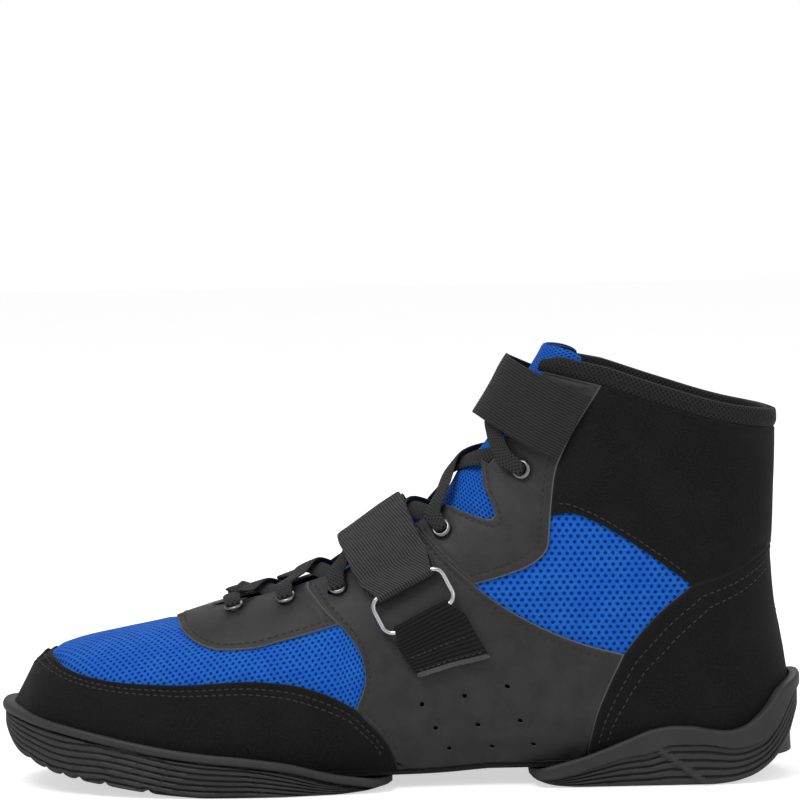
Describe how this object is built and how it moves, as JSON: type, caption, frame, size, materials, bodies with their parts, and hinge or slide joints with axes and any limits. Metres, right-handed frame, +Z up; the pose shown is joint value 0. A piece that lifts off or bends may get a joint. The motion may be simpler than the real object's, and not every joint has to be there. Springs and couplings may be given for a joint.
{
  "type": "boxing boot",
  "caption": "Left high-top boxing boot with laced mesh and leather upper, instep strap through a steel ring, elastic ankle band and split rubber sole.",
  "frame": {"origin": "on the ground under the middle of the heel's flat tread", "axes": "-X towards the toe, +X towards the heel, -Y the outer (lateral) side, +Y the inner side, +Z up"},
  "size_m": [0.293, 0.1021, 0.1589],
  "materials": {
    "suede": "near-black synthetic suede, matt short nap",
    "leather": "charcoal smooth synthetic leather, satin",
    "mesh_cloth": "bright blue open air mesh over foam",
    "lining_cloth": "dark textile lining",
    "collar_cloth": "dark perforated textile over a padded roll",
    "foam": "dark soft foam",
    "board": "stiff fibre board",
    "rubber": "dark grey moulded rubber, satin",
    "webbing": "charcoal ribbed webbing",
    "grosgrain": "charcoal cross-ribbed grosgrain tape",
    "elastic": "charcoal ribbed elastic",
    "lace_cord": "charcoal flat woven lace",
    "loop_pile": "soft loop pile",
    "hook_tape": "moulded hook tape",
    "steel": "polished steel wire",
    "eyelet_metal": "dark enamelled metal, glossy"
  },
  "bodies": {
    "boot": {"ankle_band": "elastic", "ankle_eyestay_inner": "leather", "ankle_eyestay_outer": "leather", "collar_foam_inner": "foam", "collar_foam_outer": "foam", "collar_quarter_inner": "suede", "collar_quarter_outer": "suede", "collar_roll": "collar_cloth", "eyelet_inner_1": "eyelet_metal", "eyelet_inner_2": "eyelet_metal", "eyelet_inner_3": "eyelet_metal", "eyelet_inner_4": "eyelet_metal", "eyelet_inner_5": "eyelet_metal", "eyelet_inner_6": "eyelet_metal", "eyelet_inner_7": "eyelet_metal", "eyelet_outer_1": "eyelet_metal", "eyelet_outer_2": "eyelet_metal", "eyelet_outer_3": "eyelet_metal", "eyelet_outer_4": "eyelet_metal", "eyelet_outer_5": "eyelet_metal", "eyelet_outer_6": "eyelet_metal", "eyelet_outer_7": "eyelet_metal", "heel_counter_cover": "suede", "heel_counter_stiffener": "board", "insole_board": "board", "insole_sock": "lining_cloth", "instep_strap": "webbing", "lace": "lace_cord", "midfoot_overlay_inner": "leather", "midfoot_overlay_outer": "leather", "outsole_forefoot": "rubber", "outsole_heel": "rubber", "quarter_lining_inner": "lining_cloth", "quarter_lining_outer": "lining_cloth", "quarter_mesh_inner": "mesh_cloth", "quarter_mesh_outer": "mesh_cloth", "ring_keeper": "grosgrain", "strap_loop_patch": "loop_pile", "toe_cap": "suede", "toe_puff": "board", "vamp_facing": "leather", "vamp_lining": "lining_cloth", "vamp_mesh": "mesh_cloth"},
    "ring": {"strap_ring": "steel"},
    "strap_tail": {"instep_strap_tail": "webbing", "strap_hook_patch": "hook_tape"},
    "tongue": {"tongue_cover": "mesh_cloth", "tongue_padding": "foam"}
  },
  "joints": [
    {"name": "ring_hinge", "type": "hinge", "parent": "boot", "child": "ring", "pos_m": [-0.07872, -0.03649, 0.06259], "axis": [0.889, 0.0233, 0.4573], "range_deg": [0, 12]},
    {"name": "strap_tail_hinge", "type": "hinge", "parent": "ring", "child": "strap_tail", "pos_m": [-0.08511, -0.03224, 0.07477], "axis": [0.889, 0.0233, 0.4573], "range_deg": [0, 140]},
    {"name": "tongue_hinge", "type": "hinge", "parent": "boot", "child": "tongue", "pos_m": [-0.165, 0.00306, 0.056], "axis": [0, 1, 0], "range_deg": [0, 8]}
  ]
}
